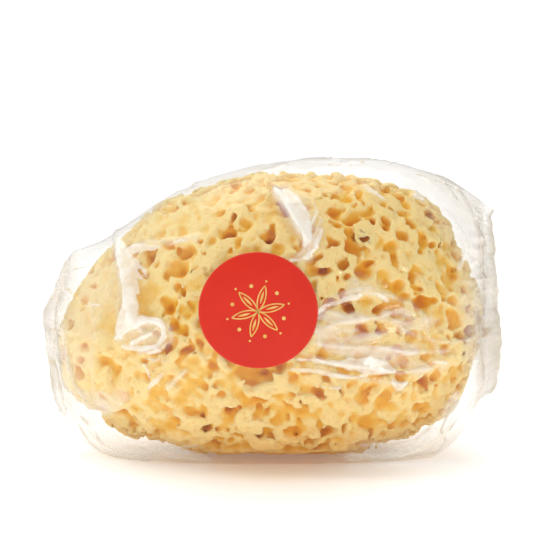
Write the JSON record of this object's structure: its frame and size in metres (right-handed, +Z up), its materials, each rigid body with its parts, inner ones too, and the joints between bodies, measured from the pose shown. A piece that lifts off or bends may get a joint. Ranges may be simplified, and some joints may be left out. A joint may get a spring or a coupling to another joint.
{
  "type": "wrapped sea sponge",
  "caption": "Natural sea sponge, an oval porous body in a clear crinkled film wrap pressed flat at both ends, with a round paper label on the front.",
  "frame": {"origin": "bottom centre of the bounding box, on the flat underside of the film wrap", "axes": "+X along the length of the sponge, towards the larger end; -Y out of the front face with the label; +Z up"},
  "size_m": [0.1536, 0.0833, 0.0993],
  "materials": {
    "sponge": "matte porous natural fibre, pale golden cream with deeper ochre canals",
    "film": "clear glossy crinkled film",
    "label": "satin red coated paper"
  },
  "bodies": {
    "root": {"sponge": "sponge", "film_wrap": "film", "label": "label"}
  },
  "joints": []
}
